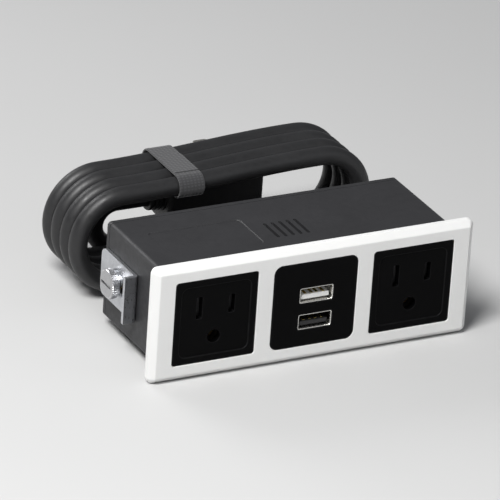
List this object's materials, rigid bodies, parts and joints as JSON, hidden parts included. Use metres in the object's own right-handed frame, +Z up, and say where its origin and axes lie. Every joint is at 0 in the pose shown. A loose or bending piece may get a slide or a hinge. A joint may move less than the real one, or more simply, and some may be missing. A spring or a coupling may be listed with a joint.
{
  "type": "panel-mounted desk power module",
  "caption": "Flush desk power module: white bevelled bezel, black grounded outlets either side of stacked USB-A ports, snap-in housing, panel clamps and tied cord with plug.",
  "frame": {"origin": "centre of the mounting plane, which is the front face of the panel that the flange rests on", "axes": "+X right seen from the front, +Y into the panel, +Z up; the outlets face -Y"},
  "size_m": [0.127, 0.1278, 0.0446],
  "materials": {
    "white_trim": "satin moulded ABS",
    "black_face": "fine moulded texture",
    "black_housing": "moulded texture",
    "contact_brass": "stamped",
    "insert_brass": "machined",
    "usb_nickel": "nickel plated",
    "usb_gold": "gold flashed",
    "white_tongue": "moulded",
    "black_tongue": "moulded",
    "zinc_steel": "zinc plated",
    "spring_steel": "drawn wire",
    "shutter_grey": "moulded acetal",
    "grey_case": "moulded",
    "board_green": "solder mask",
    "ferrite": "sintered",
    "tape_yellow": "winding tape",
    "capacitor_sleeve": "shrink sleeve",
    "component_black": "moulded epoxy",
    "fuse_glass": "clear tube",
    "wire_black": "PVC",
    "wire_white": "PVC",
    "wire_green": "PVC",
    "terminal_nylon": "nylon sleeve",
    "cord_black": "PVC jacket",
    "plug_black": "moulded PVC",
    "plug_nickel": "nickel plated brass",
    "tie_black": "woven strap"
  },
  "bodies": {
    "base": {"bracket_inserts": "insert_brass", "charger_board": "board_green", "charger_capacitors": "capacitor_sleeve", "charger_case": "grey_case", "charger_chip": "component_black", "charger_fuse": "fuse_glass", "charger_rectifier": "component_black", "cord_ties": "tie_black", "cover_screws": "zinc_steel", "ground_wires": "wire_green", "housing": "black_housing", "left_ground_contact": "contact_brass", "left_line_contact": "contact_brass", "left_line_spring": "spring_steel", "left_neutral_contact": "contact_brass", "left_neutral_spring": "spring_steel", "left_outlet_body": "grey_case", "left_outlet_face": "black_face", "line_wires": "wire_black", "lower_usb_shell": "usb_nickel", "lower_usb_tongue": "black_tongue", "neutral_wires": "wire_white", "plug_blades": "plug_nickel", "plug_body": "plug_black", "plug_ground_pin": "plug_nickel", "power_cord": "cord_black", "rear_cover": "black_housing", "right_ground_contact": "contact_brass", "right_line_contact": "contact_brass", "right_line_spring": "spring_steel", "right_neutral_contact": "contact_brass", "right_neutral_spring": "spring_steel", "right_outlet_body": "grey_case", "right_outlet_face": "black_face", "strain_relief": "plug_black", "transformer_coil": "tape_yellow", "transformer_core": "ferrite", "upper_usb_shell": "usb_nickel", "upper_usb_tongue": "white_tongue", "usb_contacts": "usb_gold", "usb_face": "black_face", "wire_terminals": "terminal_nylon"},
    "bezel": {"bezel": "white_trim"},
    "left_bracket": {"left_bracket": "zinc_steel"},
    "left_washer": {"left_washer": "zinc_steel"},
    "left_thumb_screw": {"left_thumb_screw": "zinc_steel"},
    "left_line_shutter": {"left_line_shutter": "shutter_grey"},
    "left_neutral_shutter": {"left_neutral_shutter": "shutter_grey"},
    "right_bracket": {"right_bracket": "zinc_steel"},
    "right_washer": {"right_washer": "zinc_steel"},
    "right_thumb_screw": {"right_thumb_screw": "zinc_steel"},
    "right_line_shutter": {"right_line_shutter": "shutter_grey"},
    "right_neutral_shutter": {"right_neutral_shutter": "shutter_grey"}
  },
  "joints": [
    {"name": "bezel_pull", "type": "slide", "parent": "base", "child": "bezel", "axis": [0, -1, 0], "range_m": [0, 0.015]},
    {"name": "left_bracket_slide", "type": "slide", "parent": "base", "child": "left_bracket", "axis": [0, 1, 0], "range_m": [-0.007, 0.005]},
    {"name": "left_screw_lift", "type": "slide", "parent": "base", "child": "left_washer", "axis": [-1, 0, 0], "range_m": [0, 0.0014]},
    {"name": "left_screw_turn", "type": "hinge", "parent": "left_washer", "child": "left_thumb_screw", "pos_m": [-0.0605, 0.034, 0], "axis": [-1, 0, 0], "range_deg": [0, 721]},
    {"name": "left_line_shutter_slide", "type": "slide", "parent": "base", "child": "left_line_shutter", "axis": [1, 0, 0], "range_m": [0, 0.0034], "stiffness_N_per_m": 40, "deforming": ["left_line_spring"]},
    {"name": "left_neutral_shutter_slide", "type": "slide", "parent": "base", "child": "left_neutral_shutter", "axis": [-1, 0, 0], "range_m": [0, 0.0034], "deforming": ["left_neutral_spring"]},
    {"name": "right_bracket_slide", "type": "slide", "parent": "base", "child": "right_bracket", "axis": [0, 1, 0], "range_m": [-0.007, 0.005]},
    {"name": "right_screw_lift", "type": "slide", "parent": "base", "child": "right_washer", "axis": [1, 0, 0], "range_m": [0, 0.0014]},
    {"name": "right_screw_turn", "type": "hinge", "parent": "right_washer", "child": "right_thumb_screw", "pos_m": [0.0605, 0.034, 0], "axis": [1, 0, 0], "range_deg": [0, 721]},
    {"name": "right_line_shutter_slide", "type": "slide", "parent": "base", "child": "right_line_shutter", "axis": [1, 0, 0], "range_m": [0, 0.0034], "stiffness_N_per_m": 40, "deforming": ["right_line_spring"]},
    {"name": "right_neutral_shutter_slide", "type": "slide", "parent": "base", "child": "right_neutral_shutter", "axis": [-1, 0, 0], "range_m": [0, 0.0034], "deforming": ["right_neutral_spring"]}
  ],
  "couplings": [
    {"joint": "left_neutral_shutter_slide", "follows": "left_line_shutter_slide", "ratio": 1},
    {"joint": "left_screw_turn", "follows": "left_screw_lift", "rad_per_m": 8976},
    {"joint": "right_neutral_shutter_slide", "follows": "right_line_shutter_slide", "ratio": 1},
    {"joint": "right_screw_turn", "follows": "right_screw_lift", "rad_per_m": 8976}
  ]
}
